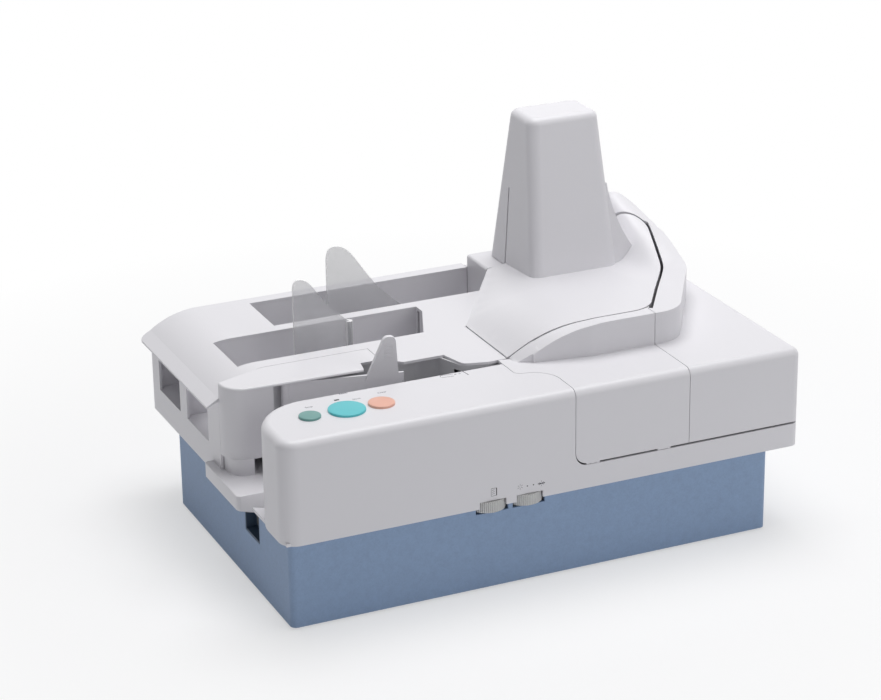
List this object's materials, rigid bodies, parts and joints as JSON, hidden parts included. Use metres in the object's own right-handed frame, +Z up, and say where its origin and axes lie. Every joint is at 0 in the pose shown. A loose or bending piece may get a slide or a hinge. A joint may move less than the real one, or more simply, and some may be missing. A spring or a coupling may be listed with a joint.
{
  "type": "cheque scanner",
  "caption": "Desktop cheque scanner with an upright U-shaped document track, a hinged hood with a tower, a front cover, a hopper and two sorting pockets.",
  "frame": {"origin": "under the middle of the whole machine, on the surface that it stands on", "axes": "+X to the right along its length, +Y to the rear, +Z up"},
  "size_m": [0.542, 0.3634, 0.361],
  "materials": {
    "shell": "fine matt texture, warm light grey",
    "base_blue": "matt grey-blue",
    "dark_plastic": "matt black",
    "inner_plastic": "matt light grey",
    "steel": "bright zinc",
    "rubber": "matt black",
    "grey_rubber": "matt grey",
    "clear": "clear acrylic",
    "teal": "satin",
    "turquoise": "satin",
    "salmon": "satin",
    "board": "green circuit board",
    "brass": "sintered",
    "aluminium": "anodised"
  },
  "bodies": {
    "housing": {"base_tub": "base_blue", "rubber_feet": "rubber", "switch_recess": "dark_plastic", "power_inlet": "dark_plastic", "data_connector": "dark_plastic", "fan_frame": "dark_plastic", "power_supply": "steel", "board_standoffs": "brass", "main_board": "board", "lower_housing": "shell", "chassis_plate": "steel", "hopper_floor": "shell", "front_panel": "shell", "key_board": "board", "status_lamp": "dark_plastic", "hopper_cover": "shell", "hopper_wall": "inner_plastic", "pivot_pins": "steel", "stacker_cover": "shell", "stacker_body": "shell", "track_bed": "inner_plastic", "inner_track_wall": "inner_plastic", "front_track_wall": "inner_plastic", "rear_track_wall": "inner_plastic", "magnetic_head": "aluminium", "rear_scan_unit": "dark_plastic", "front_scan_unit": "dark_plastic", "roller_axles": "steel", "shaft_bushes": "brass", "drive_motor": "steel", "drive_belt": "rubber", "feed_motor": "steel", "gate_solenoid": "steel", "right_cover": "shell", "rear_cover": "shell", "hinge_pins": "steel"},
    "rocker": {"power_rocker": "dark_plastic"},
    "fan": {"fan_rotor": "dark_plastic"},
    "stop_key": {"stop_button": "teal"},
    "start_key": {"start_button": "turquoise"},
    "clear_key": {"clear_button": "salmon"},
    "left_wheel": {"left_thumbwheel": "shell"},
    "right_wheel": {"right_thumbwheel": "shell"},
    "pusher": {"hopper_pusher": "shell"},
    "near_flag": {"near_paddle": "clear"},
    "far_flag": {"far_paddle": "clear"},
    "drive_1": {"drive_roller_1": "grey_rubber"},
    "drive_2": {"drive_roller_2": "grey_rubber"},
    "drive_3": {"drive_roller_3": "grey_rubber"},
    "drive_4": {"drive_roller_4": "grey_rubber"},
    "pinch_1": {"pinch_roller_1": "grey_rubber"},
    "pinch_2": {"pinch_roller_2": "grey_rubber"},
    "pinch_3": {"pinch_roller_3": "grey_rubber"},
    "pinch_4": {"pinch_roller_4": "grey_rubber"},
    "feed": {"feed_roller": "grey_rubber"},
    "retard": {"retard_roller": "grey_rubber"},
    "motor": {"motor_pulley": "aluminium"},
    "gate": {"diverter_gate": "dark_plastic"},
    "hood": {"upper_cover": "shell"},
    "door": {"front_cover": "shell"}
  },
  "joints": [
    {"name": "hood_lift", "type": "hinge", "parent": "housing", "child": "hood", "pos_m": [0.15, 0.16225, 0.222], "axis": [-1, 0, 0], "range_deg": [0, 50]},
    {"name": "front_cover_drop", "type": "hinge", "parent": "housing", "child": "door", "pos_m": [0.091, -0.17725, 0.1088], "axis": [1, 0, 0], "range_deg": [0, 50]},
    {"name": "pusher_swing", "type": "hinge", "parent": "housing", "child": "pusher", "pos_m": [-0.199, -0.03275, 0.14], "axis": [0, 0, 1], "range_deg": [-11, 7]},
    {"name": "near_paddle_swing", "type": "hinge", "parent": "housing", "child": "near_flag", "pos_m": [-0.101, 0.04675, 0.14], "axis": [0, 0, 1], "range_deg": [-18, 18]},
    {"name": "far_paddle_swing", "type": "hinge", "parent": "housing", "child": "far_flag", "pos_m": [-0.008, 0.12875, 0.14], "axis": [0, 0, 1], "range_deg": [-18, 18]},
    {"name": "stop_press", "type": "slide", "parent": "housing", "child": "stop_key", "axis": [0, 0, -1], "range_m": [0, 0.0015], "stiffness_N_per_m": 400},
    {"name": "start_press", "type": "slide", "parent": "housing", "child": "start_key", "axis": [0, 0, -1], "range_m": [0, 0.0015], "stiffness_N_per_m": 400},
    {"name": "clear_press", "type": "slide", "parent": "housing", "child": "clear_key", "axis": [0, 0, -1], "range_m": [0, 0.0015], "stiffness_N_per_m": 400},
    {"name": "left_wheel_turn", "type": "hinge", "parent": "housing", "child": "left_wheel", "pos_m": [-0.054, -0.16375, 0.085], "axis": [0, 0, 1], "range_deg": [-120, 120]},
    {"name": "right_wheel_turn", "type": "hinge", "parent": "housing", "child": "right_wheel", "pos_m": [-0.0165, -0.16375, 0.085], "axis": [0, 0, 1], "range_deg": [-120, 120]},
    {"name": "rocker_tip", "type": "hinge", "parent": "housing", "child": "rocker", "pos_m": [-0.2398, -0.08025, 0.0675], "axis": [0, 0, 1], "range_deg": [-8, 8]},
    {"name": "fan_spin", "type": "hinge", "parent": "housing", "child": "fan", "pos_m": [0.161, 0.11775, 0.034], "axis": [0, 1, 0], "continuous": true},
    {"name": "motor_spin", "type": "hinge", "parent": "housing", "child": "motor", "pos_m": [0.077, -0.00125, 0.07], "axis": [0, 0, 1], "continuous": true},
    {"name": "drive_1_spin", "type": "hinge", "parent": "housing", "child": "drive_1", "pos_m": [0.04792, -0.07574, 0.12], "axis": [0, 0, 1], "continuous": true},
    {"name": "pinch_1_spin", "type": "hinge", "parent": "housing", "child": "pinch_1", "pos_m": [0.04388, -0.09554, 0.12], "axis": [0, 0, 1], "continuous": true},
    {"name": "drive_2_spin", "type": "hinge", "parent": "housing", "child": "drive_2", "pos_m": [0.1779, -0.03558, 0.12], "axis": [0, 0, 1], "continuous": true},
    {"name": "pinch_2_spin", "type": "hinge", "parent": "housing", "child": "pinch_2", "pos_m": [0.19476, -0.04671, 0.12], "axis": [0, 0, 1], "continuous": true},
    {"name": "drive_3_spin", "type": "hinge", "parent": "housing", "child": "drive_3", "pos_m": [0.22134, 0.04999, 0.12], "axis": [0, 0, 1], "continuous": true},
    {"name": "pinch_3_spin", "type": "hinge", "parent": "housing", "child": "pinch_3", "pos_m": [0.2408, 0.04458, 0.12], "axis": [0, 0, 1], "continuous": true},
    {"name": "drive_4_spin", "type": "hinge", "parent": "housing", "child": "drive_4", "pos_m": [0.1525, 0.10865, 0.12], "axis": [0, 0, 1], "continuous": true},
    {"name": "pinch_4_spin", "type": "hinge", "parent": "housing", "child": "pinch_4", "pos_m": [0.1525, 0.12885, 0.12], "axis": [0, 0, 1], "continuous": true},
    {"name": "feed_spin", "type": "hinge", "parent": "housing", "child": "feed", "pos_m": [-0.023, -0.09725, 0.12], "axis": [0, 0, 1], "continuous": true},
    {"name": "retard_spin", "type": "hinge", "parent": "housing", "child": "retard", "pos_m": [-0.023, -0.06905, 0.12], "axis": [0, 0, 1], "continuous": true},
    {"name": "gate_swing", "type": "hinge", "parent": "housing", "child": "gate", "pos_m": [0.107, 0.12075, 0.14], "axis": [0, 0, 1], "range_deg": [-8, 1]}
  ],
  "couplings": [
    {"joint": "drive_1_spin", "follows": "motor_spin", "ratio": 1},
    {"joint": "pinch_1_spin", "follows": "motor_spin", "ratio": -1.5},
    {"joint": "drive_2_spin", "follows": "motor_spin", "ratio": 1},
    {"joint": "pinch_2_spin", "follows": "motor_spin", "ratio": -1.5},
    {"joint": "drive_3_spin", "follows": "motor_spin", "ratio": 1},
    {"joint": "pinch_3_spin", "follows": "motor_spin", "ratio": -1.5},
    {"joint": "drive_4_spin", "follows": "motor_spin", "ratio": 1},
    {"joint": "pinch_4_spin", "follows": "motor_spin", "ratio": -1.5}
  ]
}
